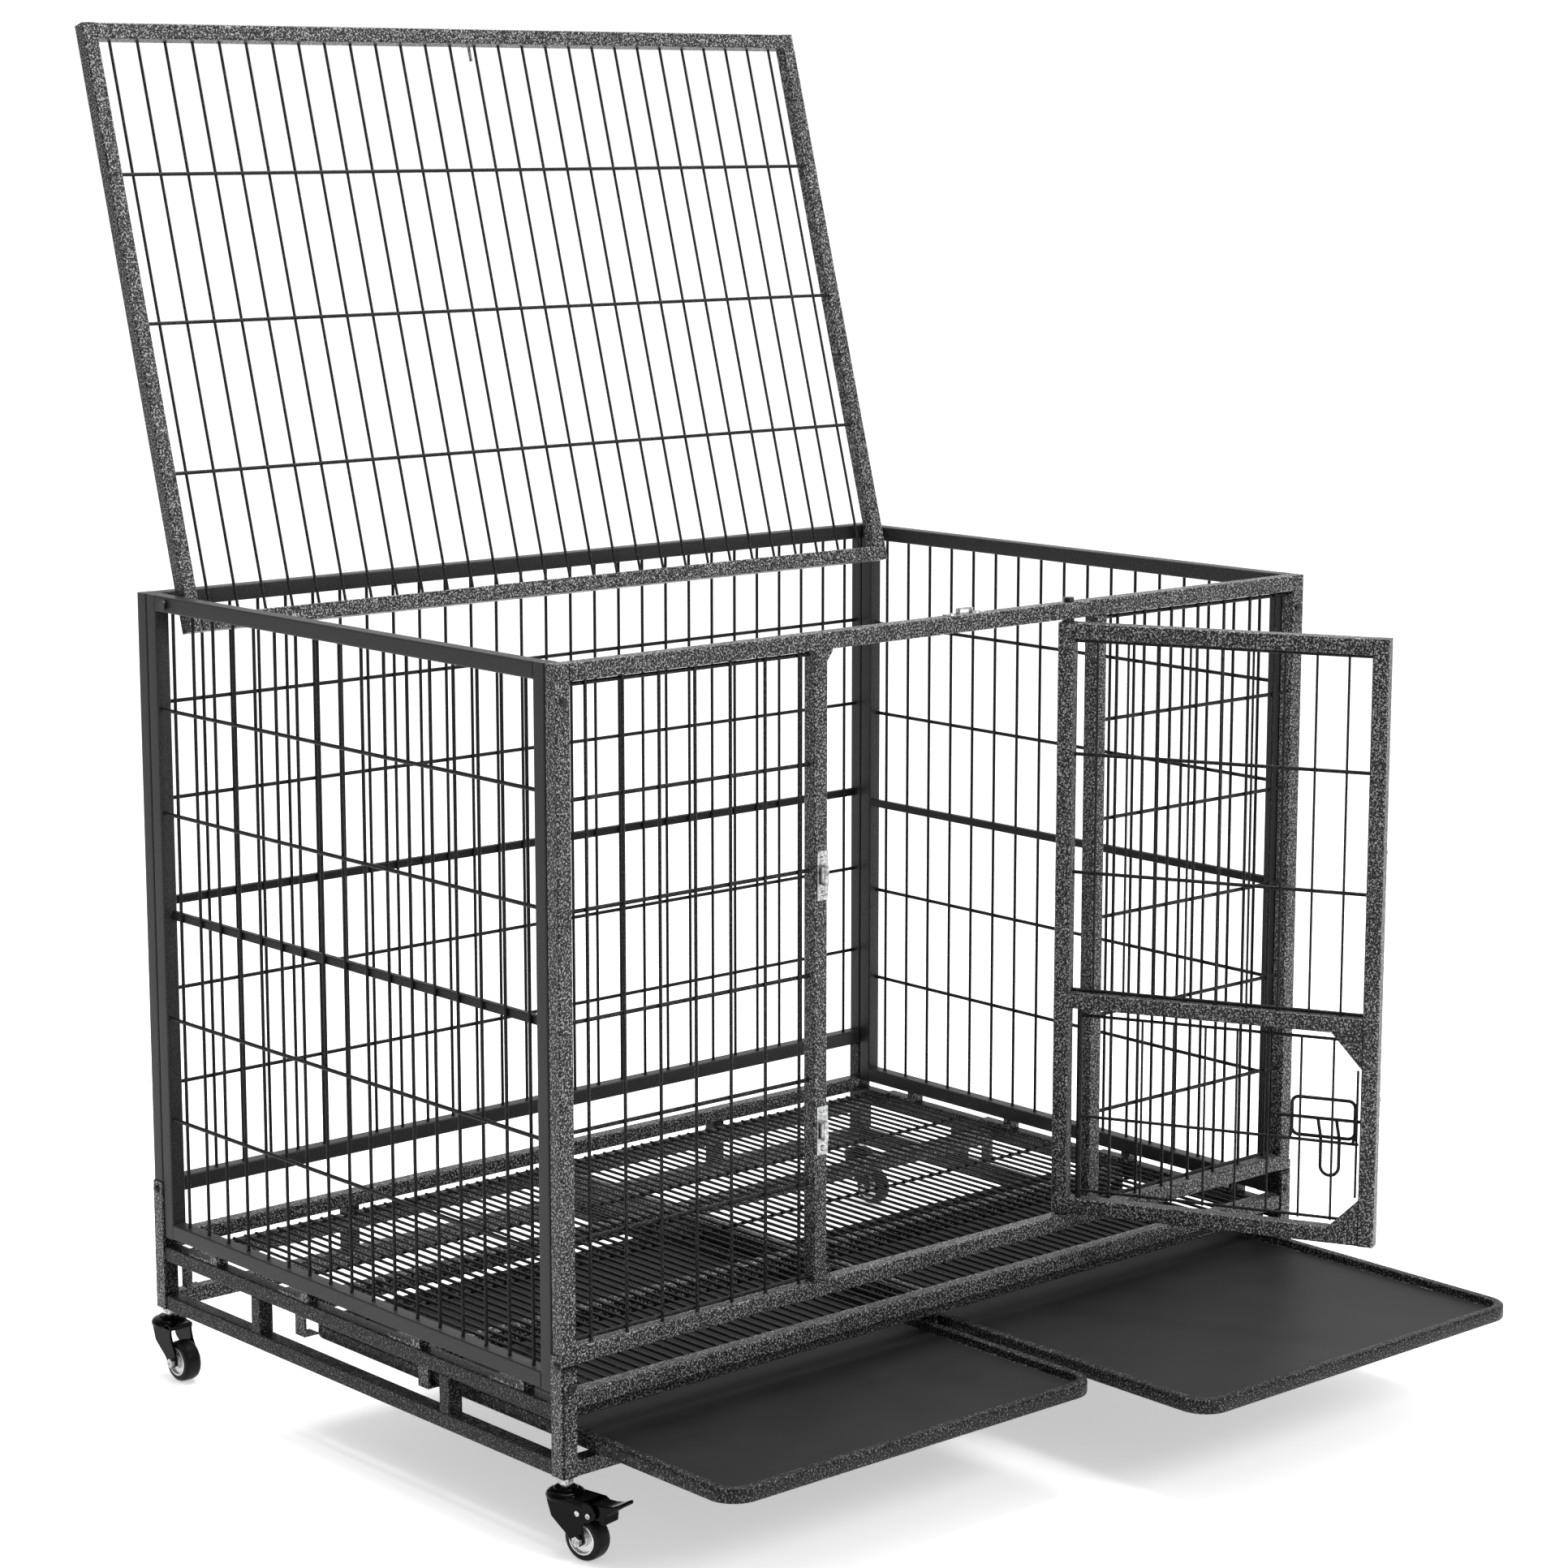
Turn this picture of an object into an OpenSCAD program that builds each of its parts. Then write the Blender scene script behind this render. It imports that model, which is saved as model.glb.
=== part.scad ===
// Wheeled wire dog crate: welded panels on a stand with two slide-out trays.
// Millimetres, +Z up, the floor is Z = 0, the door is on the -Y side.

/* [Body] */
// Overall length of the panels along X
crate_l = 1170; // [1120:5:1220]
// Overall width of the panels along Y
crate_w = 804; // [790:2:830]
// Height of the top rails above the floor
top_z = 968; // [960:1:980]
// Outside size of the square tube
tube = 19; // [18:0.5:20]
// Wall of the square tube
wall = 1.2; // [1:0.1:1.5]
// Bevel on the tube corners
tube_bevel = 1.6; // [1:0.1:2.5]

/* [Wires] */
// Panel wire thickness
wire_d = 4; // [3.5:0.1:4.5]
// Thickness of the level wires on the panels
cross_d = 4.8; // [4.4:0.1:5]
// Thickness of the upright wires on the door
fine_d = 3; // [2.8:0.1:3.4]
// Floor grate wire thickness
grate_d = 4; // [3.5:0.1:4.5]
// Distance between floor grate wires
grate_pitch = 16.2; // [15.5:0.1:17]
// Distance between upright wires on the side panels
side_pitch = 42.4; // [40:0.1:43]
// Distance between upright wires on the back panel
back_pitch = 40.2; // [38:0.1:41]
// Distance between long wires on the lid
lid_pitch = 38.7; // [37:0.1:40]

/* [Door] */
// Door hinge pin position along X
door_pin_x = 180; // [176:1:184]
// Door width
door_w = 392; // [388:1:393]
// How far the door stands open
door_open = 116; // [60:1:138]
// Travel of the door slide bolts
bolt_throw = 12; // [10:0.5:12]

/* [Lid] */
// Lid pivot position along Y, from the middle of the crate
lid_pin_y = 342; // [340:1:344]
// Lid length along Y when shut
lid_l = 735; // [730:1:743]
// How far the lid stands open
lid_open = 105.7; // [80:0.1:110]

/* [Trays] */
// Tray length along Y
tray_l = 764; // [740:2:766]
// How far the left tray is pulled out
left_out = 244; // [0:1:500]
// How far the right tray is pulled out
right_out = 383; // [0:1:500]

/* [Casters] */
// Wheel radius
wheel_r = 25; // [24:0.5:26]
// Wheel width
wheel_w = 22; // [20:0.5:22.5]
// Distance from the swivel axis to the wheel axle
trail = 30; // [28:0.5:31]
// Turn of the front casters
front_yaw = 11.5; // [0:0.5:30]

/* [Hidden] */
hx = crate_l / 2;
hy = crate_w / 2;
ht = tube / 2;
// centre lines of the outer tubes
cx = hx - ht;
cy = hy - ht;
// inner faces of the outer tubes
ix = hx - tube;
iy = hy - tube;
// side panels sit between the end panels, with a narrow groove
sy = iy - tube - 1.5;
top_c = top_z - ht;
top_in = top_z - tube;
// stand heights
leg_z = 86;
low_c = leg_z + ht;
side_up_c = 157.5;
end_up_c = 171.5;
front_leg_top = 210;
back_leg_top = 229;
post_y = 187;
post_x = 305;
// panel heights
side_bot_c = 188.5;
side_mid_c = 580.5;
side_step = 125.5;
back_bot_c = 240.5;
back_mid_c = 591.5;
back_step = 117.2;
back_wire_c = 599.7;
front_bot_c = 221.5;
front_wire_c = 583.4;
front_step = 119.3;
lath_t = 7.8;
lath_h = 10;
// door posts
post_l = -215.5;
post_r = 226.5;
// grate
grate_top = 168;
sup_c = 150.5;
sup_y = 366.5;
// lid
lid_hw = 562;
lid_back = 378;
lid_front = lid_back - lid_l;
// door
door_pin_y = -cy;
door_hi = 944.5;
door_lo = 234;
door_hinge_x = door_pin_x + ht;
door_free_x = door_hinge_x - door_w;
door_mid_c = 494.5;
open_x = door_pin_x - ht;
open_f = door_free_x + tube;
// feeder door
rod_r = 3.5;
rod_x = door_hinge_x - 31;
feed_lo = 262;
feed_hi = 476;
latch_z = 379;
latch_r = 2.1;
latch_y = -cy - 4.9;
loop_y = latch_y - latch_r - 0.3 - 2.1;
feed_y = -cy + 2.7;
// slide bolts
bolt_r = 2;
bolt_off = 3.4;
guide_h = 6.6;
stem_r = 1.5;
door_rod = 18.5;
lid_rod = 36;
// the lid bolt runs behind a long lid wire, beside the keeper middle
lid_rod_x = lid_pitch / 2;
upper_bolt_z = 697.5;
lower_bolt_z = 406.3;
lid_bolt_x = 13;
// trays
tray_w = 546;
tray_x = 284;
tray_lo = 116;
tray_h = 16;
tray_lip = 12;
tray_t = 1.2;
tray_home = -399;
tray_r = 34;
// caster
axle_r = 3;
cheek_in = 13;
cheek_t = 3;
pedal_y = -44.5;
pedal_z = 56;
pedal_r = 2.5;
cheek_low = [[14, 71], [14, 62], [8, 45], [-3, 36.5], [-12, 30], [-20, 21.5], [-25, 18.5],
  [-32, 18.5], [-36, 22], [-36.5, 31]];
cheek_long = concat(cheek_low, [[-35, 41], [-38.5, 46], [-46, 49.5], [-53, 54], [-54, 60],
  [-51, 66], [-44, 70]]);
cheek_short = concat(cheek_low, [[-34, 40], [-29, 49], [-26, 58], [-26, 66], [-23, 70]]);
// row origin sits under the middle of everything as it stands
front_end = tray_home - right_out;
lid_lean = lid_open - 90;
lid_arm = lid_pin_y - lid_front;
back_end = lid_pin_y + (lid_arm - 8.3) * sin(lid_lean) + (ht + 15.4) * cos(lid_lean);
row_y = -(front_end + back_end) / 2;
row_x = -3.2;
grey = [0.16, 0.16, 0.17];
dark = [0.08, 0.08, 0.08];
steel = [0.75, 0.75, 0.77];

module row() {
  translate([row_x, row_y, 0]) children();
}

// ---- tube and wire helpers ----
module prof() {
  a = ht;
  b = ht - tube_bevel;
  polygon([[a, -b], [a, b], [b, a], [-b, a], [-a, b], [-a, -b], [-b, -a], [b, -a]]);
}

module bar_z(x, y, z0, z1) {
  difference() {
    translate([x, y, z0]) linear_extrude(z1 - z0) prof();
    translate([x - ht + wall, y - ht + wall, z0 + wall])
      cube([tube - 2 * wall, tube - 2 * wall, z1 - z0 - 2 * wall]);
  }
}

module bar_x(x0, x1, y, z) {
  difference() {
    translate([x0, y, z]) rotate([90, 0, 90]) linear_extrude(x1 - x0) prof();
    translate([x0 + wall, y - ht + wall, z - ht + wall])
      cube([x1 - x0 - 2 * wall, tube - 2 * wall, tube - 2 * wall]);
  }
}

module bar_y(x, y0, y1, z) {
  difference() {
    translate([x, y1, z]) rotate([90, 0, 0]) linear_extrude(y1 - y0) prof();
    translate([x - ht + wall, y0 + wall, z - ht + wall])
      cube([tube - 2 * wall, y1 - y0 - 2 * wall, tube - 2 * wall]);
  }
}

module oct(d, l) {
  rotate([0, 0, 22.5]) cylinder(d = d / cos(22.5), h = l, $fn = 8);
}

module wire_z(x, y, z0, z1, d = wire_d) {
  translate([x, y, z0]) oct(d, z1 - z0);
}

module wire_x(x0, x1, y, z, d = wire_d) {
  translate([x0, y, z]) rotate([0, 90, 0]) oct(d, x1 - x0);
}

module wire_y(x, y0, y1, z, d = wire_d) {
  translate([x, y0, z]) rotate([-90, 0, 0]) oct(d, y1 - y0);
}

// small flat tube along Y or X, welded behind the wires
module lath_y(x, y0, y1, z) {
  difference() {
    translate([x - lath_t / 2, y0, z - lath_h / 2]) cube([lath_t, y1 - y0, lath_h]);
    translate([x - lath_t / 2 + 1, y0 + 1, z - lath_h / 2 + 1])
      cube([lath_t - 2, y1 - y0 - 2, lath_h - 2]);
  }
}

module lath_x(x0, x1, y, z) {
  difference() {
    translate([x0, y - lath_t / 2, z - lath_h / 2]) cube([x1 - x0, lath_t, lath_h]);
    translate([x0 + 1, y - lath_t / 2 + 1, z - lath_h / 2 + 1])
      cube([x1 - x0 - 2, lath_t - 2, lath_h - 2]);
  }
}

module bolt_head(p, r) {
  translate(p) rotate(r) {
    cylinder(r = 5, h = 1.6, $fn = 32);
    translate([0, 0, 1.4]) cylinder(r1 = 4.6, r2 = 2.4, h = 1.9, $fn = 32);
  }
}

// ---- stand ----
module base_legs() {
  color(grey) row() for (sx = [-1, 1]) {
    bar_z(sx * cx, -cy, leg_z, front_leg_top);
    bar_z(sx * cx, cy, leg_z, back_leg_top);
  }
}

module base_side_rails_upper() {
  color(grey) row() for (sx = [-1, 1]) bar_y(sx * cx, -iy, iy, side_up_c);
}

module base_side_rails_lower() {
  color(grey) row() for (sx = [-1, 1]) bar_y(sx * cx, -iy, iy, low_c);
}

module base_end_rails_upper() {
  color(grey) row() for (s = [-1, 1]) bar_x(-ix, ix, s * cy, end_up_c);
}

module base_end_rails_lower() {
  color(grey) row() for (s = [-1, 1]) bar_x(-ix, ix, s * cy, low_c);
}

module base_posts() {
  color(grey) row() {
    for (sx = [-1, 1]) {
      for (s = [-1, 1]) bar_z(sx * cx, s * post_y, leg_z + tube, side_up_c - ht);
      bar_z(sx * post_x, cy, leg_z + tube, end_up_c - ht);
    }
  }
}

module grate_supports() {
  color(grey) row() for (s = [-1, -1 / 3, 1 / 3, 1]) {
    bar_x(-ix, -ht, s * sup_y, sup_c);
    bar_x(ht, ix, s * sup_y, sup_c);
  }
}

module grate_divider() {
  color(grey) row() bar_y(0, -sup_y - ht, sup_y + ht, sup_c);
}

module tray_hangers() {
  hz = tray_lo - 0.5;
  color(grey) row() {
    for (sx = [-1, 1]) for (s = [-1, -1 / 3, 1 / 3, 1]) {
      translate([sx * (ix - 1.5) - 1.5, s * sup_y - ht, hz - 2])
        cube([3, tube, sup_c - ht - hz + 2]);
      translate([sx * (ix - 10) - 10, s * sup_y - ht, hz - 2]) cube([20, tube, 2]);
    }
    translate([-1.5, -sup_y, hz - 2]) cube([3, 2 * sup_y, sup_c - ht - hz + 2]);
    translate([-22, -sup_y, hz - 2]) cube([44, 2 * sup_y, 2]);
  }
}

module corner_plates() {
  color(grey) row() for (sx = [-1, 1]) {
    translate([sx * (hx + 1) - 1, -hy + 1, leg_z + 1]) cube([2, 18, 136]);
    translate([sx * (hx - 9) - 8, -hy - 2, leg_z + 1]) cube([16, 2, 119]);
    translate([sx * (hx + 1) - 1, hy - 19, leg_z + 1]) cube([2, 18, 160]);
    translate([sx * (hx - 9) - 8, hy, leg_z + 1]) cube([16, 2, 160]);
  }
}

module frame_bolts() {
  color(dark) row() for (sx = [-1, 1]) {
    ry = sx * 90;
    bolt_head([sx * (hx + 2), -hy + 9, 212], [0, ry, 0]);
    bolt_head([sx * (hx + 2), hy - 8, 237], [0, ry, 0]);
    bolt_head([sx * cx, -hy - 2, 188], [90, 0, 0]);
    bolt_head([sx * cx, hy + 2, 212], [-90, 0, 0]);
    bolt_head([sx * cx, -hy, 928], [90, 0, 0]);
    bolt_head([sx * cx, hy, 928], [-90, 0, 0]);
  }
}

module side_rest_tabs() {
  z0 = side_up_c + ht;
  color(grey) row() for (sx = [-1, 1]) for (y = [-300, -110, 110, 300]) {
    translate([sx * cx - 8, y - 30, z0]) cube([16, 60, 3]);
    translate([sx * cx - 8, y - 30, z0]) cube([16, 14, side_bot_c - ht - z0]);
  }
}

// ---- panels ----
module side_panel(sx) {
  v = ht - 0.4;
  difference() {
    union() {
      for (s = [-1, 1]) bar_z(sx * cx, s * (sy + ht), side_bot_c - ht, top_z);
      for (z = [side_bot_c, top_c]) bar_y(sx * cx, -sy - 0.4, sy + 0.4, z);
      lath_y(sx * (hx - 15.1), -sy - 0.4, sy + 0.4, side_mid_c);
      for (k = [-2, -1, 1, 2])
        wire_y(sx * (hx - 5.4), -sy - 0.6, sy + 0.6, side_mid_c + k * side_step, cross_d);
      for (k = [-8:8]) wire_z(sx * (hx - 9.5), k * side_pitch, side_bot_c + v, top_c - v);
    }
    translate([sx * cx - tube, lid_pin_y, top_c]) rotate([0, 90, 0])
      cylinder(r = 4.06, h = 2 * tube, $fn = 32);
  }
}

module panel_left() {
  color(grey) row() side_panel(-1);
}

module panel_right() {
  color(grey) row() side_panel(1);
}

module panel_back() {
  v = ht - 0.4;
  color(grey) row() {
    for (s = [-1, 1]) bar_z(s * cx, cy, back_bot_c - ht, top_z);
    for (z = [back_bot_c, top_c]) bar_x(-ix - 0.4, ix + 0.4, cy, z);
    lath_x(-ix - 0.4, ix + 0.4, cy + 3.9, back_mid_c);
    for (k = [-2, -1, 1, 2])
      wire_x(-ix - 0.6, ix + 0.6, cy + 2.4, back_wire_c + k * back_step, cross_d);
    for (k = [0:27]) wire_z((k - 13.5) * back_pitch, cy - 1.7, back_bot_c + v, top_c - v);
  }
}

module front_rails() {
  color(grey) row() difference() {
    for (z = [front_bot_c, top_c]) bar_x(-ix, ix, -cy, z);
    translate([door_pin_x, -cy, front_bot_c - tube]) cylinder(r = 4.06, h = 2 * tube, $fn = 32);
    translate([door_pin_x, -cy, top_c - tube]) cylinder(r = 4.06, h = 2 * tube, $fn = 32);
  }
}

module front_posts() {
  color(grey) row() {
    for (s = [-1, 1]) bar_z(s * cx, -cy, front_bot_c - ht, top_z);
    for (x = [post_l, post_r]) bar_z(x, -cy, front_bot_c + ht, top_in);
  }
}

module front_mesh(x0, x1, first, pitch, n) {
  lo = front_bot_c + ht;
  for (k = [0:n - 1])
    wire_z(first + k * pitch, -cy - wire_d / 2 + 0.3, lo, top_in);
  for (k = [-2:2])
    wire_x(x0, x1, -cy + cross_d / 2 - 0.3, front_wire_c + k * front_step, cross_d);
  for (z = [lo + 4.5, top_in - 4.5]) wire_x(x0, x1, -cy + cross_d / 2 - 0.3, z, cross_d);
}

module front_mesh_left() {
  color(grey) row() front_mesh(-ix, post_l - ht, -540.3, 49.8, 7);
}

module front_mesh_right() {
  color(grey) row() front_mesh(post_r + ht, ix, 261.3, 46.7, 7);
}

module front_gussets() {
  lo = front_bot_c + ht;
  color(grey) row() translate([0, -iy, 0]) rotate([-90, 0, 0]) {
    translate([0, 0, 0]) linear_extrude(3)
      polygon([[-220, -top_c], [-182, -top_c], [-182, 6 - top_in], [-208, 40 - top_in],
        [-220, 40 - top_in]]);
    linear_extrude(3)
      polygon([[-220, -lo + 9], [-182, -lo + 9], [-182, -lo - 6], [-208, -lo - 40], [-220, -lo - 40]]);
  }
}

module floor_grate() {
  n = floor((2 * ix - 8) / grate_pitch / 2);
  color(grey) row() {
    for (k = [-n:n])
      wire_y(k * grate_pitch, -358, 358, grate_top - grate_d / 2, grate_d);
    for (y = [-351, -180, 0, 180, 351])
      wire_x(-ix + 1, ix - 1, y, grate_top - 1.5 * grate_d + 0.3, grate_d);
  }
}

// ---- latches ----
// keeper plate: long side along local Y, raised strap in the middle, face up
module keeper() {
  difference() {
    union() {
      translate([-8, -28, 0]) cube([16, 56, 1]);
      translate([-2.5, -11, 0]) cube([6, 22, guide_h + 0.6]);
    }
    translate([-9, -9.6, 0.95]) cube([18, 19.2, guide_h - 1.6]);
    translate([-6, -9, -1]) cube([3.2, 18, 4]);
    for (s = [-1, 1]) translate([0, s * 20, -1]) cylinder(r = 2, h = 5, $fn = 24);
  }
}

module on_post(z) {
  translate([post_l + 1.5, -hy, z]) rotate([90, 0, 0]) children();
}

module on_rail() {
  translate([lid_bolt_x, -cy + 1.5, top_z]) rotate([0, 0, 90]) children();
}

module bolt_keepers() {
  color(steel) row() {
    for (z = [upper_bolt_z, lower_bolt_z]) on_post(z) keeper();
    on_rail() keeper();
  }
}

module screws() {
  for (s = [-1, 1]) translate([0, s * 20, 1]) cylinder(r1 = 3.6, r2 = 2.4, h = 1.5, $fn = 24);
}

module keeper_screws() {
  color(steel) row() {
    for (z = [upper_bolt_z, lower_bolt_z]) on_post(z) screws();
    on_rail() screws();
  }
}

// guide: plate long along local Y, the bolt runs along local X, slot on top
module guide() {
  w = bolt_r + 0.08;
  difference() {
    union() {
      translate([-8, -24, 0]) cube([16, 48, 1.3]);
      translate([-8, -6.5, 0]) cube([16, 13, guide_h]);
    }
    translate([-20, 0, bolt_off]) rotate([0, 90, 0]) cylinder(r = w, h = 40, $fn = 48);
    translate([-20, -stem_r - 0.3, bolt_off]) cube([40, 2 * stem_r + 0.6, 20]);
  }
}

// sliding rod along local X, tip at x = 0, a knob stem standing off it
module slide_rod(l, stem) {
  translate([0, 0, bolt_off]) {
    rotate([0, 90, 0]) cylinder(r = bolt_r, h = l, $fn = 48);
    translate([stem, 0, 0]) cylinder(r = stem_r, h = 10, $fn = 32);
    translate([stem, 0, 7]) cylinder(r = 3.5, h = 5, $fn = 32);
  }
}

// ---- lid ----
module lid_place() {
  row() translate([0, lid_pin_y, top_c]) rotate([-lid_open, 0, 0])
    translate([0, -lid_pin_y, -top_c]) children();
}

module lid_panel() {
  v = tube - 0.4;
  color(grey) lid_place() {
    for (s = [-1, 1]) bar_y(s * (lid_hw - ht), lid_front, lid_back, top_c);
    for (y = [lid_front + ht, lid_back - ht])
      bar_x(-lid_hw + v, lid_hw - v, y, top_c);
    for (k = [0:27])
      wire_y((k - 13.5) * lid_pitch, lid_front + v, lid_back - v, top_c + 1.5, 3.6);
    for (h = [190, 371, 552])
      wire_x(-lid_hw + v, lid_hw - v, lid_back - h, top_c - 2.2, 4.5);
  }
}

module lid_pins() {
  color(dark) lid_place() for (s = [-1, 1]) translate([s * lid_hw, lid_pin_y, top_c])
    rotate([0, s * 90, 0]) {
      cylinder(r = 4, h = hx - lid_hw + 1, $fn = 32);
      translate([0, 0, 0]) cylinder(r = 7, h = 3, $fn = 32);
      translate([0, 0, hx - lid_hw + 0.6]) cylinder(r = 6, h = 3.4, $fn = 32);
    }
}

module lid_bolt_guide() {
  color(steel) lid_place() translate([lid_rod_x, lid_front + ht, top_z]) rotate([0, 0, 90]) guide();
}

module lid_bolt() {
  color(steel) lid_place() translate([lid_rod_x, lid_front + 0.3, top_z]) rotate([0, 0, 90])
    slide_rod(lid_rod, 11.5);
}

// ---- door ----
module door_place() {
  row() translate([door_pin_x, door_pin_y, 0]) rotate([0, 0, door_open])
    translate([-door_pin_x, -door_pin_y, 0]) children();
}

module door_stiles() {
  color(grey) door_place() difference() {
    for (x = [door_pin_x, door_free_x + ht]) bar_z(x, -cy, door_lo, door_hi);
    translate([open_f - tube / 2, latch_y, latch_z]) rotate([0, 90, 0])
      cylinder(r = latch_r + 0.06, h = tube, $fn = 32);
  }
}

module door_rails() {
  color(grey) door_place() difference() {
    for (z = [door_lo + ht, door_mid_c, door_hi - ht]) bar_x(open_f, open_x, -cy, z);
    translate([rod_x, -cy, door_lo + ht]) cylinder(r = rod_r + 0.06, h = tube, $fn = 32);
    translate([rod_x, -cy, door_mid_c - tube]) cylinder(r = rod_r + 0.06, h = tube, $fn = 32);
  }
}

module door_mesh() {
  lo = door_mid_c + ht;
  hi = door_hi - tube;
  mid = (open_f + open_x) / 2;
  color(grey) door_place() {
    for (k = [-4:4]) wire_z(mid + k * 37.3, -cy + 1.9, lo, hi, fine_d);
    for (z = [lo + 2.4, 648, 789, hi - 2.4])
      wire_x(open_f, open_x, -cy - 1.5, z, 4.4);
  }
}

module door_gussets() {
  a = open_f;
  lo = door_lo + tube;
  hi = door_mid_c - ht;
  color(grey) door_place() translate([0, -cy + 9, 0]) rotate([90, 0, 0]) {
    linear_extrude(2.5) polygon([[a, hi], [a + 36, hi], [a, hi - 40]]);
    linear_extrude(2.5) polygon([[a, lo], [a + 36, lo], [a, lo + 36]]);
  }
}

module door_pins() {
  color(dark) door_place() {
    translate([door_pin_x, -cy, door_hi]) {
      cylinder(r = 7, h = 4.2, $fn = 32);
      cylinder(r = 4, h = top_z - door_hi + 1, $fn = 32);
      translate([0, 0, top_z - door_hi + 0.4]) cylinder(r = 6.6, h = 5, $fn = 6);
    }
    translate([door_pin_x, -cy, front_bot_c - ht - 1]) {
      cylinder(r = 4, h = door_lo - front_bot_c + ht + 1, $fn = 32);
      translate([0, 0, door_lo - front_bot_c + ht - 1.6]) cylinder(r = 7, h = 2.6, $fn = 32);
      translate([0, 0, -4.4]) cylinder(r = 6.6, h = 5, $fn = 6);
    }
  }
}

module door_bolt_guides() {
  color(steel) door_place() for (z = [upper_bolt_z, lower_bolt_z])
    translate([door_free_x + 10.5, -hy, z]) rotate([90, 0, 0]) guide();
}

module door_bolt(z) {
  color(steel) door_place() translate([door_free_x + 0.3, -hy, z]) rotate([90, 0, 0])
    slide_rod(door_rod, 11.5);
}

module door_bolt_upper() {
  door_bolt(upper_bolt_z);
}

module door_bolt_lower() {
  door_bolt(lower_bolt_z);
}

// ---- feeder door ----
module feeder_grid() {
  r0 = door_lo + tube - 5;
  r1 = door_mid_c - ht + 5;
  edge = door_hinge_x - 370;
  color(grey) door_place() {
    translate([rod_x, -cy, r0]) cylinder(r = rod_r, h = r1 - r0, $fn = 32);
    for (z = [feed_lo, 353, feed_hi])
      wire_x(z == 353 ? edge : door_hinge_x - 351, rod_x - 1.5, -cy - 0.4, z, 3.8);
    for (k = [0:7])
      wire_z(door_hinge_x - 70.3 - k * 38.4, feed_y, feed_lo - 2, feed_hi + 2, fine_d);
    wire_z(edge + 2, feed_y, 290, 442, fine_d);
  }
}

module feeder_latch_loop() {
  d = 4.2;
  x0 = door_hinge_x - 363;
  x1 = door_hinge_x - 288;
  color(grey) door_place() {
    for (z = [356.1, 401.4]) wire_x(x0 - 1.4, x1 + 1.4, loop_y, z, d);
    for (x = [x0, x1]) {
      wire_z(x, loop_y, 355, 402.5, d - 0.1);
      wire_y(x, loop_y + 0.2, -cy + 0.2, 355.4, d - 0.3);
    }
  }
}

module feeder_latch() {
  x0 = open_f + 0.6;
  x1 = door_hinge_x - 272;
  h0 = door_hinge_x - 324;
  h1 = door_hinge_x - 346;
  color(grey) door_place() translate([0, latch_y, 0]) {
    translate([x0, 0, latch_z]) rotate([0, 90, 0]) cylinder(r = latch_r, h = x1 - x0, $fn = 32);
    for (x = [h0, h1]) translate([x, -0.01, 309.6])
      cylinder(r = latch_r - 0.1, h = latch_z - 309.6, $fn = 32);
    translate([h1, -0.01, 311.6]) rotate([0, 90, 0])
      cylinder(r = latch_r - 0.1, h = h0 - h1, $fn = 32);
  }
}

// ---- trays ----
module slab(w, l, r, z0, z1) {
  translate([0, 0, z0]) linear_extrude(z1 - z0) {
    square([w - 2 * r, l], center = true);
    square([w, l - 2 * r], center = true);
    for (a = [-1, 1]) for (b = [-1, 1]) translate([a * (w / 2 - r), b * (l / 2 - r)])
      circle(r = r, $fn = 64);
  }
}

module tray() {
  z0 = tray_lo;
  z1 = tray_lo + tray_h;
  in = 2 * tray_lip;
  difference() {
    slab(tray_w, tray_l, tray_r, z0, z1);
    slab(tray_w - in, tray_l - in, tray_r - tray_lip, z1 - 9, z1 + 1);
    difference() {
      slab(tray_w - 2 * tray_t, tray_l - 2 * tray_t, tray_r - tray_t, z0 - 1, z1 - tray_t);
      slab(tray_w - in + 2 * tray_t, tray_l - in + 2 * tray_t, tray_r - tray_lip + tray_t,
        z0 - 2, z1);
    }
    slab(tray_w - in, tray_l - in, tray_r - tray_lip, z0 - 1, z1 - 9 - tray_t);
  }
}

module tray_left() {
  color(dark) row() translate([-tray_x, tray_home + tray_l / 2 - left_out, 0]) tray();
}

module tray_right() {
  color(dark) row() translate([tray_x, tray_home + tray_l / 2 - right_out, 0]) tray();
}

// ---- casters ----
module caster_at(sx, s) {
  row() translate([sx * cx, s * cy, 0]) rotate([0, 0, s < 0 ? front_yaw : 0]) children();
}

module caster_stems() {
  color(steel) for (sx = [-1, 1]) for (s = [-1, 1]) caster_at(sx, s) {
    translate([0, 0, 84]) cylinder(r = 9, h = 2, $fn = 48);
    translate([0, 0, 79]) cylinder(r = 8.5, h = 5.2, $fn = 6);
    translate([0, 0, 64]) cylinder(r = 5.5, h = 20.5, $fn = 48);
  }
}

module fork(brake) {
  color(dark) {
    difference() {
      union() {
        translate([0, 0, 64]) cylinder(r = 22, h = 8, $fn = 64);
        translate([0, 0, 71]) cylinder(r = 13, h = 5, $fn = 64);
        translate([-16, brake ? -37 : -27, 63.5]) cube([32, brake ? 37 : 27, 6]);
      }
      translate([0, 0, 60]) cylinder(r = 5.56, h = 20, $fn = 48);
    }
    for (s = [-1, 1]) translate([s * (cheek_in + cheek_t / 2) - cheek_t / 2, 0, 0]) difference() {
      rotate([90, 0, 90]) linear_extrude(cheek_t) polygon(brake ? cheek_long : cheek_short);
      translate([-1, -trail, wheel_r]) rotate([0, 90, 0])
        cylinder(r = axle_r + 0.06, h = cheek_t + 2, $fn = 32);
      if (brake) translate([-1, pedal_y, pedal_z]) rotate([0, 90, 0])
        cylinder(r = pedal_r + 0.06, h = cheek_t + 2, $fn = 32);
    }
  }
}

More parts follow.
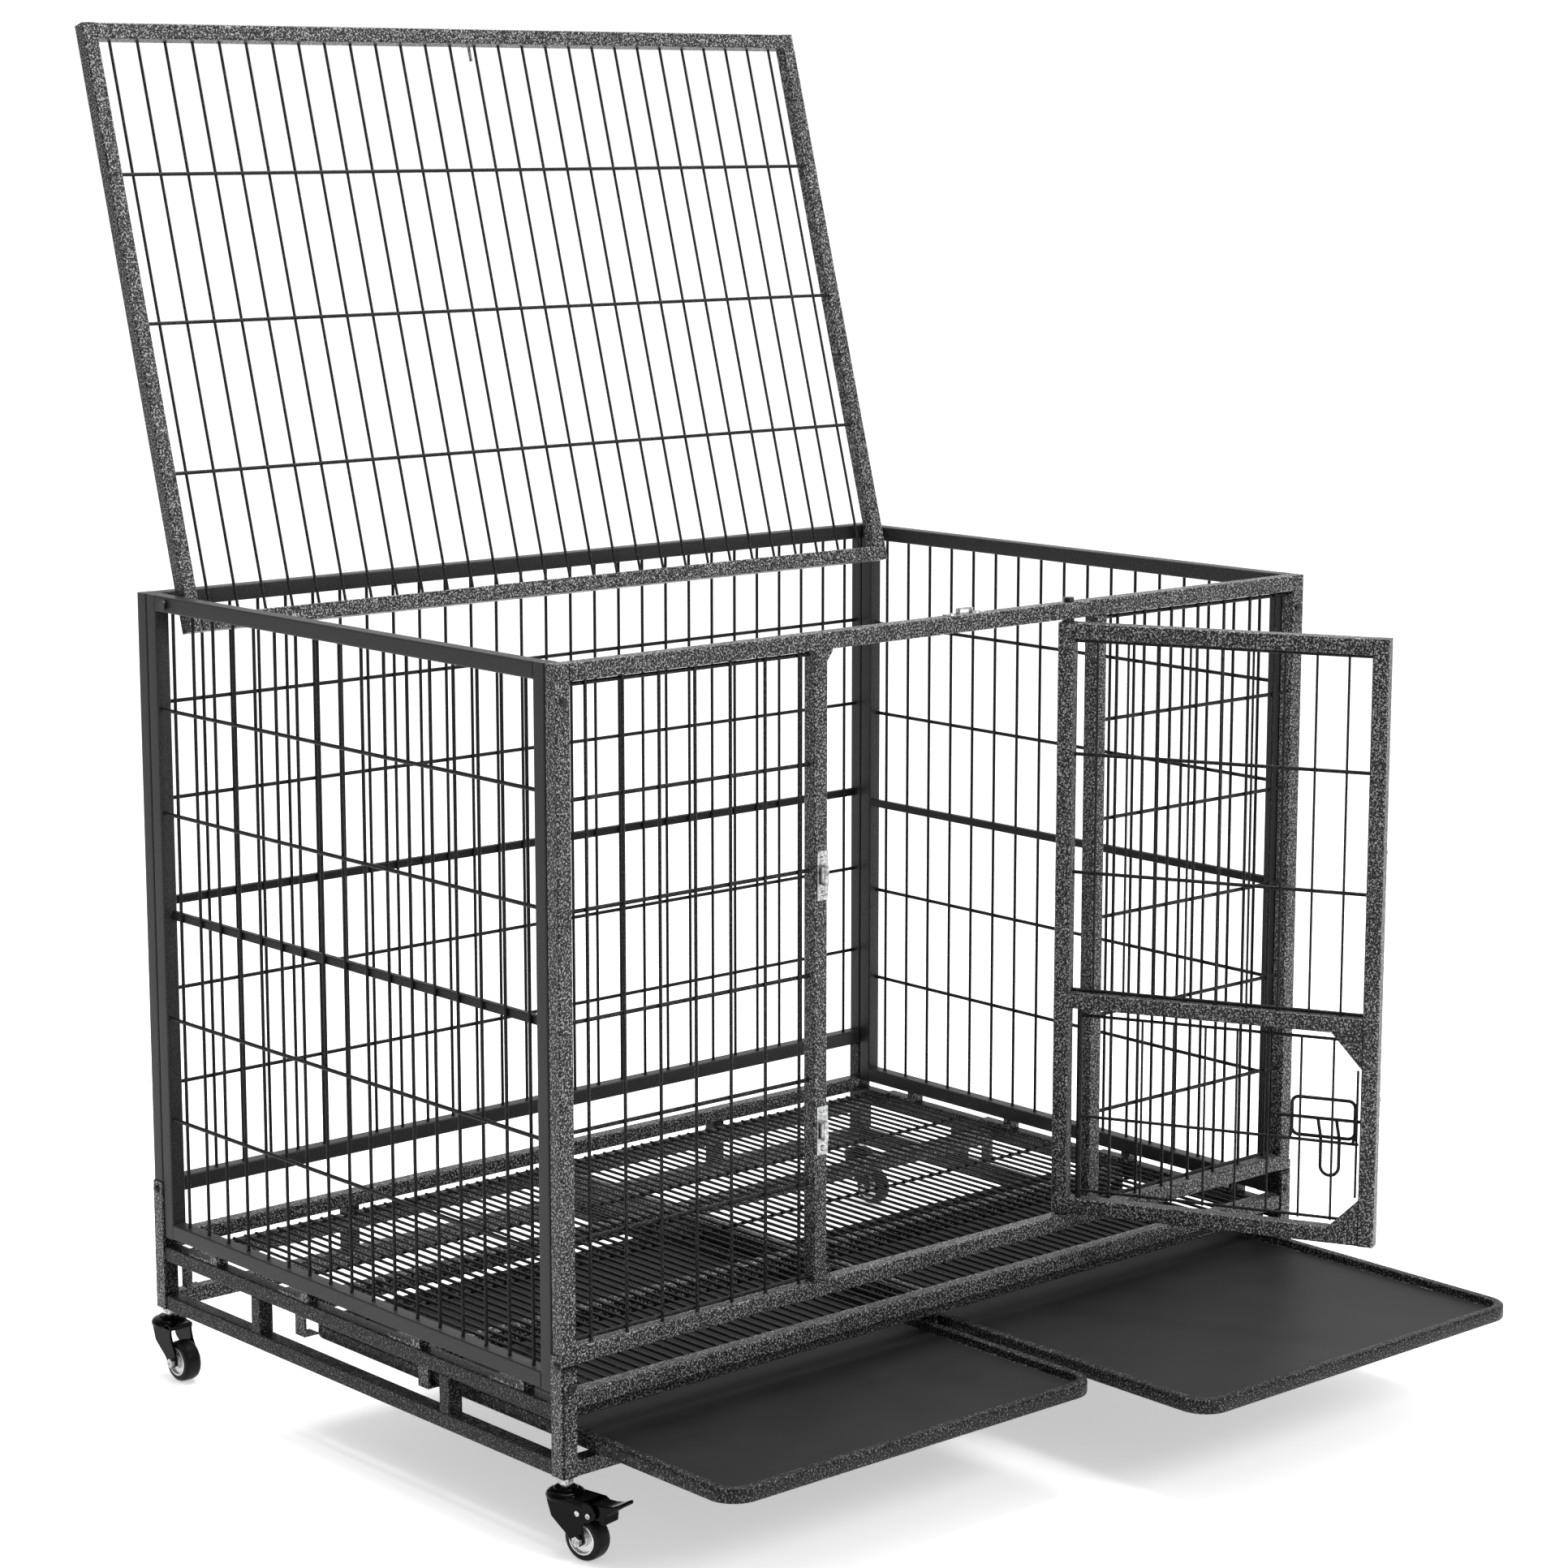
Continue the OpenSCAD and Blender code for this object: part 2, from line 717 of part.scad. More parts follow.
module tyre() {
  w = wheel_w / 2;
  color(dark) translate([0, -trail, wheel_r]) rotate([0, 90, 0]) rotate_extrude($fn = 96)
    polygon([[17.5, -w], [21.5, -w], [24, -w + 2.5], [wheel_r, -w + 7], [wheel_r, w - 7],
      [24, w - 2.5], [21.5, w], [17.5, w]]);
}

module hub() {
  w = wheel_w / 2;
  color(steel) translate([0, -trail, wheel_r]) rotate([0, 90, 0]) rotate_extrude($fn = 96)
    polygon([[axle_r + 0.06, -w - 1], [8, -w - 1], [8, -w + 3], [14.5, -w + 3], [15.5, -w + 0.4],
      [17.5, -w], [17.5, w], [15.5, w - 0.4], [14.5, w - 3], [8, w - 3], [8, w + 1],
      [axle_r + 0.06, w + 1]]);
}

module axle(brake) {
  xo = cheek_in + cheek_t;
  color(steel) {
    translate([-xo - 1, -trail, wheel_r]) rotate([0, 90, 0]) cylinder(r = axle_r, h = 2 * xo + 2, $fn = 48);
    translate([-xo - 4.5, -trail, wheel_r]) rotate([0, 90, 0]) cylinder(r = 6, h = 4.5, $fn = 6);
    translate([xo, -trail, wheel_r]) rotate([0, 90, 0]) cylinder(r = 6, h = 4.5, $fn = 6);
    if (brake) translate([-xo, pedal_y, pedal_z]) rotate([0, 90, 0])
      cylinder(r = pedal_r, h = 2 * xo, $fn = 32);
    if (brake) for (s = [-1, 1]) for (y = [-29.5, pedal_y])
      translate([s * (xo + 0.7) - 0.7, y, pedal_z]) rotate([0, 90, 0])
        cylinder(r = 3.2, h = 1.4, $fn = 32);
  }
}

module pedal() {
  color(dark) translate([-11.5, 0, 0]) difference() {
    rotate([90, 0, 90]) linear_extrude(23)
      polygon([[-39.5, 51.5], [-39.5, 60.5], [-45, 63], [-47, 69.5], [-63, 69.5], [-74, 71.5],
        [-83, 75.5], [-86, 75], [-84.5, 71.5], [-75.5, 66.5], [-69.5, 62], [-65, 59],
        [-64, 48.5], [-58.5, 46.5], [-54.5, 50.5], [-50, 50.5]]);
    translate([-1, pedal_y, pedal_z]) rotate([0, 90, 0])
      cylinder(r = pedal_r + 0.06, h = 25, $fn = 32);
  }
}

module fork_fl() { caster_at(-1, -1) fork(true); }
module fork_fr() { caster_at(1, -1) fork(true); }
module fork_bl() { caster_at(-1, 1) fork(false); }
module fork_br() { caster_at(1, 1) fork(false); }
module tyre_fl() { caster_at(-1, -1) tyre(); }
module tyre_fr() { caster_at(1, -1) tyre(); }
module tyre_bl() { caster_at(-1, 1) tyre(); }
module tyre_br() { caster_at(1, 1) tyre(); }
module hub_fl() { caster_at(-1, -1) hub(); }
module hub_fr() { caster_at(1, -1) hub(); }
module hub_bl() { caster_at(-1, 1) hub(); }
module hub_br() { caster_at(1, 1) hub(); }
module axle_fl() { caster_at(-1, -1) axle(true); }
module axle_fr() { caster_at(1, -1) axle(true); }
module axle_bl() { caster_at(-1, 1) axle(false); }
module axle_br() { caster_at(1, 1) axle(false); }
module pedal_fl() { caster_at(-1, -1) pedal(); }
module pedal_fr() { caster_at(1, -1) pedal(); }

// ---- assembly ----
base_legs();
base_side_rails_upper();
base_side_rails_lower();
base_end_rails_upper();
base_end_rails_lower();
base_posts();
grate_supports();
grate_divider();
tray_hangers();
corner_plates();
frame_bolts();
side_rest_tabs();
panel_left();
panel_right();
panel_back();
front_rails();
front_posts();
front_mesh_left();
front_mesh_right();
front_gussets();
floor_grate();
bolt_keepers();
keeper_screws();
lid_panel();
lid_pins();
lid_bolt_guide();
lid_bolt();
door_stiles();
door_rails();
door_mesh();
door_gussets();
door_pins();
door_bolt_guides();
door_bolt_upper();
door_bolt_lower();
feeder_grid();
feeder_latch_loop();
feeder_latch();
tray_left();
tray_right();
caster_stems();
fork_fl();
fork_fr();
fork_bl();
fork_br();
tyre_fl();
tyre_fr();
tyre_bl();
tyre_br();
hub_fl();
hub_fr();
hub_bl();
hub_br();
axle_fl();
axle_fr();
axle_bl();
axle_br();
pedal_fl();
pedal_fr();
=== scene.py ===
import math
import bpy
import bmesh
from mathutils import Matrix, Vector


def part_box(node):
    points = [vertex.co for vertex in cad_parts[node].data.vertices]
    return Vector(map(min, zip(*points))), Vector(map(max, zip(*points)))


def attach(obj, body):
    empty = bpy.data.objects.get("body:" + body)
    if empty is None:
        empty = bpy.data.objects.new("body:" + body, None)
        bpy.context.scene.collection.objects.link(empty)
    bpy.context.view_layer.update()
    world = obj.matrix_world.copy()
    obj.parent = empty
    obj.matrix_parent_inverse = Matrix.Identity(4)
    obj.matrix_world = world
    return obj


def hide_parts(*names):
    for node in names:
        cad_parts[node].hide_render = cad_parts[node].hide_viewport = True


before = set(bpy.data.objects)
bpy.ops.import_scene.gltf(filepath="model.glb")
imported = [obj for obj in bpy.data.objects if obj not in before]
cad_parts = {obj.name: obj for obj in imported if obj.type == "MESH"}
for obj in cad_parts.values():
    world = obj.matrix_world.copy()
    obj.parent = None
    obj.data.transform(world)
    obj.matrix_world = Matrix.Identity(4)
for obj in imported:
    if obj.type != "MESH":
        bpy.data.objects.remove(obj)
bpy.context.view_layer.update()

# ---------------------------------------------------------------- measures (mm)
T = 19.0
H = T / 2
WIRE = 2.0
back_lo, back_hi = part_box("panel_back")
legs_lo, legs_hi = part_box("base_legs")
OX = (back_lo.x + back_hi.x) / 2
OY = (legs_lo.y + legs_hi.y) / 2
HX = (back_hi.x - back_lo.x) * 500
HY = (legs_hi.y - legs_lo.y) * 500
CX, CY = HX - H, HY - H
IX, IY = HX - T, HY - T
SY = IY - T - 1.5
TOP = back_hi.z * 1000
TOPC = TOP - H
LEG_Z = legs_lo.z * 1000
PIN_X, DOOR_OPEN, DOOR_W = 180.0, 116.0, 392.0
LID_Y, LID_OPEN, LID_L, LID_HW = 342.0, 105.7, 735.0, 562.0
LID_B = 378.0
LID_F = LID_B - LID_L
YAW = 11.5

ROW = Matrix.Translation((OX, OY, 0)) @ Matrix.Diagonal((0.001, 0.001, 0.001, 1))


def about(point, angle, axis):
    p = Vector(point)
    return Matrix.Translation(p) @ Matrix.Rotation(math.radians(angle), 4, axis) @ Matrix.Translation(-p)


DOOR = ROW @ about((PIN_X, -CY, 0), DOOR_OPEN, "Z")
LID = ROW @ about((0, LID_Y, TOPC), -LID_OPEN, "X")


# ---------------------------------------------------------------- materials
def new_mat(name):
    m = bpy.data.materials.new(name)
    m.use_nodes = True
    nt = m.node_tree
    return m, nt, nt.nodes["Principled BSDF"]


def link(nt, a, b):
    nt.links.new(a, b)


def coords(nt):
    return nt.nodes.new("ShaderNodeTexCoord").outputs["Object"]


def noise(nt, vec, scale, detail=2.0, rough=0.5):
    n = nt.nodes.new("ShaderNodeTexNoise")
    n.inputs["Scale"].default_value = scale
    n.inputs["Detail"].default_value = detail
    n.inputs["Roughness"].default_value = rough
    link(nt, vec, n.inputs["Vector"])
    return n.outputs["Fac"]


def ramp(nt, fac, stops):
    r = nt.nodes.new("ShaderNodeValToRGB")
    e = r.color_ramp.elements
    while len(e) < len(stops):
        e.new(0.5)
    for i, (pos, col) in enumerate(stops):
        e[i].position = pos
        e[i].color = (col[0], col[1], col[2], 1)
    link(nt, fac, r.inputs["Fac"])
    return r.outputs["Color"]


def grey(v):
    return (v, v, v * 1.03)


def spread(nt, fac, lo=0.0, hi=1.0, start=0.0, end=1.0):
    r = nt.nodes.new("ShaderNodeMapRange")
    r.inputs["From Min"].default_value = start
    r.inputs["From Max"].default_value = end
    r.inputs["To Min"].default_value = lo
    r.inputs["To Max"].default_value = hi
    link(nt, fac, r.inputs["Value"])
    return r.outputs["Result"]


def bump(nt, height, strength, dist, shader):
    b = nt.nodes.new("ShaderNodeBump")
    b.inputs["Strength"].default_value = strength
    b.inputs["Distance"].default_value = dist
    link(nt, height, b.inputs["Height"])
    link(nt, b.outputs["Normal"], shader.inputs["Normal"])


def hammertone(name, stops, scale=560.0, strength=0.5, spec=0.3, coat=0.12, rough=(0.52, 0.36)):
    m, nt, p = new_mat(name)
    v = coords(nt)
    fine = noise(nt, v, scale, 1.5, 0.55)
    col = ramp(nt, fine, [(pos, grey(val)) for pos, val in stops])
    cloud = noise(nt, v, 9.0, 2.0)
    mix = nt.nodes.new("ShaderNodeMix")
    mix.data_type = "RGBA"
    mix.blend_type = "MULTIPLY"
    mix.inputs["Factor"].default_value = 1.0
    link(nt, col, mix.inputs["A"])
    link(nt, ramp(nt, cloud, [(0.3, (0.82, 0.82, 0.82)), (0.7, (1, 1, 1))]), mix.inputs["B"])
    link(nt, mix.outputs["Result"], p.inputs["Base Color"])
    p.inputs["Metallic"].default_value = 0.1
    p.inputs["Specular IOR Level"].default_value = spec
    link(nt, spread(nt, fine, rough[0], rough[1]), p.inputs["Roughness"])
    p.inputs["Coat Weight"].default_value = coat
    p.inputs["Coat Roughness"].default_value = 0.25
    bump(nt, fine, strength, 0.0005, p)
    return m


def tray_paint():
    m, nt, p = new_mat("tray_paint")
    v = coords(nt)
    soft = noise(nt, v, 14.0, 3.0)
    link(nt, ramp(nt, soft, [(0.3, grey(0.006)), (0.7, grey(0.0095))]), p.inputs["Base Color"])
    peel = noise(nt, v, 520.0, 1.0)
    link(nt, spread(nt, soft, 0.42, 0.56), p.inputs["Roughness"])
    p.inputs["Specular IOR Level"].default_value = 0.17
    bump(nt, peel, 0.12, 0.0003, p)
    return m


def zinc():
    m, nt, p = new_mat("zinc_plate")
    v = coords(nt)
    spangle = noise(nt, v, 260.0, 2.0)
    stops = [(0.35, (0.2, 0.2, 0.205)), (0.55, (0.42, 0.425, 0.43)), (0.7, (0.6, 0.605, 0.61))]
    link(nt, ramp(nt, spangle, stops), p.inputs["Base Color"])
    p.inputs["Metallic"].default_value = 1.0
    link(nt, spread(nt, spangle, 0.24, 0.42), p.inputs["Roughness"])
    bump(nt, noise(nt, v, 900.0, 1.0), 0.08, 0.0002, p)
    return m


def black_gloss(name, base, rough, peel, spec):
    m, nt, p = new_mat(name)
    v = coords(nt)
    n = noise(nt, v, 60.0, 3.0)
    link(nt, ramp(nt, n, [(0.3, grey(base)), (0.75, grey(base * 1.8))]), p.inputs["Base Color"])
    link(nt, spread(nt, n, rough, rough + 0.12), p.inputs["Roughness"])
    p.inputs["Specular IOR Level"].default_value = spec
    p.inputs["Coat Weight"].default_value = 0.03
    p.inputs["Coat Roughness"].default_value = 0.1
    bump(nt, noise(nt, v, 700.0, 1.0), peel, 0.0002, p)
    return m


def rubber():
    m, nt, p = new_mat("tyre_rubber")
    v = coords(nt)
    n = noise(nt, v, 120.0, 3.0)
    link(nt, ramp(nt, n, [(0.3, grey(0.004)), (0.75, grey(0.008))]), p.inputs["Base Color"])
    link(nt, spread(nt, n, 0.30, 0.46), p.inputs["Roughness"])
    p.inputs["Specular IOR Level"].default_value = 0.12
    bump(nt, noise(nt, v, 900.0, 2.0), 0.12, 0.0002, p)
    return m


def bright_ring():
    m, nt, p = new_mat("wheel_ring")
    v = coords(nt)
    n = noise(nt, v, 300.0, 2.0)
    link(nt, ramp(nt, n, [(0.3, (0.50, 0.51, 0.52)), (0.7, (0.68, 0.69, 0.70))]), p.inputs["Base Color"])
    p.inputs["Metallic"].default_value = 0.7
    link(nt, spread(nt, n, 0.18, 0.3), p.inputs["Roughness"])
    return m


SPECKLE = [(0.39, 0.003), (0.48, 0.012), (0.55, 0.07), (0.65, 0.31)]
HAMMER = hammertone("hammertone_paint", SPECKLE, 490.0, 0.5, 0.2, 0.05)
# darker, duller copy of the same hammertone paint: painted shade for the lower stand tubes listed below and for the
# tray rims
HAMMER_PAINTED_SHADE = hammertone("hammertone_painted_shade", [(0.4, 0.002), (0.5, 0.008), (0.58, 0.03), (0.7, 0.14)],
                   490.0, 0.4, 0.12, 0.0)
PAINTED_SHADE_NODES = ("base_legs", "base_side_rails_upper", "base_side_rails_lower", "base_posts")
HAMMER_WIRE = hammertone("hammertone_wire", [(0.4, 0.004), (0.55, 0.012), (0.72, 0.055)], 620.0, 0.4, 0.12, 0.0)
# finer-grained, darker, low-contrast copies of the hammertone paint for the side and back panels and their wires;
# their darkness and flatness is painted shade for those side-facing panels
FINE_HAMMER_PAINTED_SHADE = hammertone("painted_shade_fine_hammertone", [(0.35, 0.012), (0.52, 0.022), (0.72, 0.04)], 760.0, 0.2, 0.18, 0.03)
FINE_WIRE_PAINTED_SHADE = hammertone("painted_shade_fine_wire", [(0.4, 0.004), (0.55, 0.010), (0.72, 0.03)],
                         700.0, 0.3, 0.12, 0.0)
TRAY = tray_paint()
ZINC = zinc()
FORK = black_gloss("fork_enamel", 0.001, 0.14, 0.05, 0.06)
DARK = black_gloss("black_fastener", 0.008, 0.3, 0.15, 0.3)
TYRE = rubber()
RING = bright_ring()


# ---------------------------------------------------------------- mesh helpers
AXES = {"x": (0, 1, 2), "y": (1, 2, 0), "z": (2, 0, 1)}


def tube_profile(size, r, segs=3):
    a = size / 2 - r
    pts = []
    for k, (sx, sy) in enumerate([(1, 1), (-1, 1), (-1, -1), (1, -1)]):
        for i in range(segs + 1):
            t = math.radians(90 * k + 90 * i / segs)
            pts.append((sx * a + r * math.cos(t), sy * a + r * math.sin(t)))
    return pts


def round_profile(r, n=12):
    return [(r * math.cos(2 * math.pi * i / n), r * math.sin(2 * math.pi * i / n)) for i in range(n)]


def prism(bm, axis, a0, a1, u, v, prof, chamfer=0.0):
    ia, iu, iv = AXES[axis]
    rows = [(a0, 1.0), (a1, 1.0)]
    if chamfer:
        rows = [(a0, 0.55), (a0 + chamfer, 1.0), (a1 - chamfer, 1.0), (a1, 0.55)]
    rings = []
    for a, k in rows:
        ring = []
        for p, q in prof:
            co = [0, 0, 0]
            co[ia], co[iu], co[iv] = a, u + p * k, v + q * k
            ring.append(bm.verts.new(co))
        rings.append(ring)
    n = len(prof)
    for r0, r1 in zip(rings, rings[1:]):
        for i in range(n):
            bm.faces.new((r0[i], r0[(i + 1) % n], r1[(i + 1) % n], r1[i]))
    bm.faces.new(rings[0][::-1])
    bm.faces.new(rings[-1])


TUBE = tube_profile(T, 2.0)
LATH_X = [(3.9, -4.2), (3.9, 4.2), (3.1, 5), (-3.1, 5), (-3.9, 4.2), (-3.9, -4.2), (-3.1, -5), (3.1, -5)]
LATH_Y = [(b, a) for a, b in LATH_X][::-1]
ROUND = round_profile(WIRE)


def tx(bm, x0, x1, y, z):
    prism(bm, "x", x0, x1, y, z, TUBE)


def ty(bm, x, y0, y1, z):
    prism(bm, "y", y0, y1, z, x, TUBE)


def tz(bm, x, y, z0, z1):
    prism(bm, "z", z0, z1, x, y, TUBE)


def wx(bm, x0, x1, y, z, r=WIRE):
    prism(bm, "x", x0, x1, y, z, ROUND if r == WIRE else round_profile(r), r * 0.5)


def wy(bm, x, y0, y1, z, r=WIRE):
    prism(bm, "y", y0, y1, z, x, ROUND if r == WIRE else round_profile(r), r * 0.5)


def wz(bm, x, y, z0, z1, r=WIRE):
    prism(bm, "z", z0, z1, x, y, ROUND if r == WIRE else round_profile(r), r * 0.5)


def sweep(bm, pts, r, n=12):
    pts = [Vector(p) for p in pts]
    side = None
    rings = []
    for i, p in enumerate(pts):
        t = (pts[min(i + 1, len(pts) - 1)] - pts[max(i - 1, 0)]).normalized()
        if side is None:
            side = t.orthogonal().normalized()
        side = (side - t * side.dot(t)).normalized()
        up = t.cross(side)
        rings.append([bm.verts.new(p + side * (r * math.cos(2 * math.pi * k / n)) + up * (r * math.sin(2 * math.pi * k / n)))
                      for k in range(n)])
    for r0, r1 in zip(rings, rings[1:]):
        for i in range(n):
            bm.faces.new((r0[i], r0[(i + 1) % n], r1[(i + 1) % n], r1[i]))
    bm.faces.new(rings[0][::-1])
    bm.faces.new(rings[-1])


def arc(cx, cz, r, a0, a1, y, n=8):
    return [(cx + r * math.cos(math.radians(a0 + (a1 - a0) * i / n)), y,
             cz + r * math.sin(math.radians(a0 + (a1 - a0) * i / n))) for i in range(n + 1)]


def blob(bm, p, r=2.7):
    bmesh.ops.create_icosphere(bm, subdivisions=1, radius=r, matrix=Matrix.Translation(p))


def lathe(bm, prof, place, n=48):
    rings = []
    for r, a in prof:
        if r < 1e-6:
            rings.append([bm.verts.new(place @ Vector((0, 0, a)))])
            continue
        rings.append([bm.verts.new(place @ Vector((r * math.cos(2 * math.pi * i / n), r * math.sin(2 * math.pi * i / n), a)))
                      for i in range(n)])
    for r0, r1 in zip(rings, rings[1:]):
        for i in range(n):
            j = (i + 1) % n
            if len(r0) == 1:
                bm.faces.new((r0[0], r1[j], r1[i]))
            elif len(r1) == 1:
                bm.faces.new((r0[i], r0[j], r1[0]))
            else:
                bm.faces.new((r0[i], r0[j], r1[j], r1[i]))


def slab(bm, poly, x0, x1):
    a = [bm.verts.new((x0, y, z)) for y, z in poly]
    b = [bm.verts.new((x1, y, z)) for y, z in poly]
    n = len(poly)
    for i in range(n):
        bm.faces.new((a[i], a[(i + 1) % n], b[(i + 1) % n], b[i]))
    bm.faces.new(a[::-1])
    bm.faces.new(b)


def piece(name, build, body, nodes, mat, place=ROW, bevel=0.0, angle=38.0, weighted=True):
    bm = bmesh.new()
    build(bm)
    bmesh.ops.recalc_face_normals(bm, faces=bm.faces)
    bm.transform(place)
    me = bpy.data.meshes.new(name)
    bm.to_mesh(me)
    bm.free()
    me.polygons.foreach_set("use_smooth", [True] * len(me.polygons))
    me.set_sharp_from_angle(angle=math.radians(angle))
    ob = bpy.data.objects.new(name, me)
    bpy.context.scene.collection.objects.link(ob)
    for m in mat if isinstance(mat, (list, tuple)) else [mat]:
        me.materials.append(m)
    if bevel:
        b = ob.modifiers.new("edge", "BEVEL")
        b.width = bevel / 1000
        b.segments = 2
        b.limit_method = "ANGLE"
        b.angle_limit = math.radians(40)
        b.harden_normals = True
    if weighted:
        w = ob.modifiers.new("normals", "WEIGHTED_NORMAL")
        w.keep_sharp = True
    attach(ob, body)
    if nodes:
        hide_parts(*nodes)
    return ob


# ---------------------------------------------------------------- stand
def legs(bm):
    for sx in (-1, 1):
        tz(bm, sx * CX, -CY, LEG_Z, 210)
        tz(bm, sx * CX, CY, LEG_Z, 229)


def side_up(bm):
    for sx in (-1, 1):
        ty(bm, sx * CX, -IY, IY, 157.5)


def side_low(bm):
    for sx in (-1, 1):
        ty(bm, sx * CX, -IY, IY, LEG_Z + H)


def end_up(bm):
    for s in (-1, 1):
        tx(bm, -IX, IX, s * CY, 171.5)


def end_low(bm):
    for s in (-1, 1):
        tx(bm, -IX, IX, s * CY, LEG_Z + H)


def posts(bm):
    for sx in (-1, 1):
        for s in (-1, 1):
            tz(bm, sx * CX, s * 187, LEG_Z + T, 148)
        tz(bm, sx * 305, CY, LEG_Z + T, 162)


def supports(bm):
    for k in (-1, -1 / 3, 1 / 3, 1):
        tx(bm, -IX, -H, k * 366.5, 150.5)
        tx(bm, H, IX, k * 366.5, 150.5)


def divider(bm):
    ty(bm, 0, -376, 376, 150.5)


# legs, side rails and posts take the painted-shade copy of the hammertone; the other stand tubes take the plain paint
for n, f in (("base_legs", legs), ("base_side_rails_upper", side_up), ("base_side_rails_lower", side_low),
             ("base_end_rails_upper", end_up), ("base_end_rails_lower", end_low), ("base_posts", posts),
             ("grate_supports", supports), ("grate_divider", divider)):
    piece("look_" + n, f, "frame", [n], HAMMER_PAINTED_SHADE if n in PAINTED_SHADE_NODES else HAMMER)


# ---------------------------------------------------------------- panels
def side_frame(sx):
    def build(bm):
        x = sx * CX
        for s in (-1, 1):
            tz(bm, x, s * (SY + H), 179, TOP)
        for z in (188.5, TOPC):
            ty(bm, x, -SY, SY, z)
    return build


def side_wires(sx):
    def build(bm):
        xh, xv, xm = sx * (HX - 5.4), sx * (HX - 9.5), sx * (HX - 15.1)
        prism(bm, "y", -SY, SY, 580.5, xm, LATH_Y)
        for k in (-2, -1, 1, 2):
            wy(bm, xh, -SY - 1, SY + 1, 580.5 + k * 125.5, 2.4)
            for s in (-1, 1):
                blob(bm, (xh, s * SY, 580.5 + k * 125.5), 3.1)
        for k in range(-8, 9):
            wz(bm, xv, k * 42.4, 197, TOP - T + 1)
            for z in (198, TOP - T):
                blob(bm, (xv, k * 42.4, z))
    return build


def back_frame(bm):
    for s in (-1, 1):
        tz(bm, s * CX, CY, 231, TOP)
    for z in (240.5, TOPC):
        tx(bm, -IX, IX, CY, z)


def back_wires(bm):
    prism(bm, "x", -IX, IX, CY + 3.9, 591.5, LATH_X)
    for k in (-2, -1, 1, 2):
        wx(bm, -IX - 1, IX + 1, CY + 2.4, 599.7 + k * 117.2, 2.4)
    for k in range(28):
        x = (k - 13.5) * 40.2
        wz(bm, x, CY - 1.7, 249, TOP - T + 1)
        for z in (250, TOP - T):
            blob(bm, (x, CY - 1.7, z))


def front_rails(bm):
    for z in (221.5, TOPC):
        tx(bm, -IX, IX, -CY, z)


def front_posts(bm):
    for s in (-1, 1):
        tz(bm, s * CX, -CY, 212, TOP)
    for x in (-215.5, 226.5):
        tz(bm, x, -CY, 231, TOP - T)


def front_mesh(x0, x1, first, pitch, n):
    def build(bm):
        yv, yh = -CY - 1.7, -CY + 2.1
        for k in range(n):
            wz(bm, first + k * pitch, yv, 230, TOP - T + 1)
            for z in (231, TOP - T):
                blob(bm, (first + k * pitch, yv, z))
        for k in range(-2, 3):
            wx(bm, x0 - 1, x1 + 1, yh, 583.4 + k * 119.3, 2.4)
            for x in (x0, x1):
                blob(bm, (x, yh, 583.4 + k * 119.3), 3.1)
        for z in (235.5, TOP - T - 4.5):
            wx(bm, x0 - 1, x1 + 1, yh, z, 2.4)
    return build


def grate(bm):
    n = int((2 * IX - 8) // 16.2 // 2)
    for k in range(-n, n + 1):
        wy(bm, k * 16.2, -358, 358, 166)
    for y in (-351, -180, 0, 180, 351):
        wx(bm, -IX + 1, IX - 1, y, 162.3)


# side and back panels take the painted-shade fine copies of the hammertone
for side, sx in (("left", -1), ("right", 1)):
    piece("look_panel_" + side, side_frame(sx), "frame", ["panel_" + side], FINE_HAMMER_PAINTED_SHADE)
    piece("look_panel_wires_" + side, side_wires(sx), "frame", ["panel_" + side], FINE_WIRE_PAINTED_SHADE)
piece("look_panel_back", back_frame, "frame", ["panel_back"], FINE_HAMMER_PAINTED_SHADE)
piece("look_panel_wires_back", back_wires, "frame", ["panel_back"], FINE_WIRE_PAINTED_SHADE)
piece("look_front_rails", front_rails, "frame", ["front_rails"], HAMMER)
piece("look_front_posts", front_posts, "frame", ["front_posts"], HAMMER)
for side, mesh in (("left", front_mesh(-IX, -225, -540.3, 49.8, 7)), ("right", front_mesh(236, IX, 261.3, 46.7, 7))):
    piece("look_front_mesh_" + side, mesh, "frame", ["front_mesh_" + side], HAMMER_WIRE)
piece("look_floor_grate", grate, "frame", ["floor_grate"], HAMMER_WIRE)


# ---------------------------------------------------------------- lid
def lid_frame(bm):
    for s in (-1, 1):
        ty(bm, s * (LID_HW - H), LID_F, LID_B, TOPC)
    for y in (LID_F + H, LID_B - H):
        tx(bm, -LID_HW + T, LID_HW - T, y, TOPC)


def lid_wires(bm):
    zl, zc = TOPC + 1.5, TOPC - 2.2
    for k in range(28):
        x = (k - 13.5) * 38.7
        wy(bm, x, LID_F + T - 1, LID_B - T + 1, zl, 1.8)
        for y in (LID_F + T, LID_B - T):
            blob(bm, (x, y, zl), 2.4)
    for y in (LID_B - 190, LID_B - 371, LID_B - 552):
        wx(bm, -LID_HW + T - 1, LID_HW - T + 1, y, zc, 2.25)
        for s in (-1, 1):
            blob(bm, (s * (LID_HW - T), y, zc), 2.9)


piece("look_lid_panel", lid_frame, "lid", ["lid_panel"], HAMMER, LID)
piece("look_lid_wires", lid_wires, "lid", ["lid_panel"], HAMMER_WIRE, LID)

# ---------------------------------------------------------------- door
HINGE_X = PIN_X + H
FREE_X = HINGE_X - DOOR_W
OPEN_F, OPEN_X = FREE_X + T, PIN_X - H


def door_rails(bm):
    for z in (243.5, 494.5, 935):
        tx(bm, OPEN_F, OPEN_X, -CY, z)


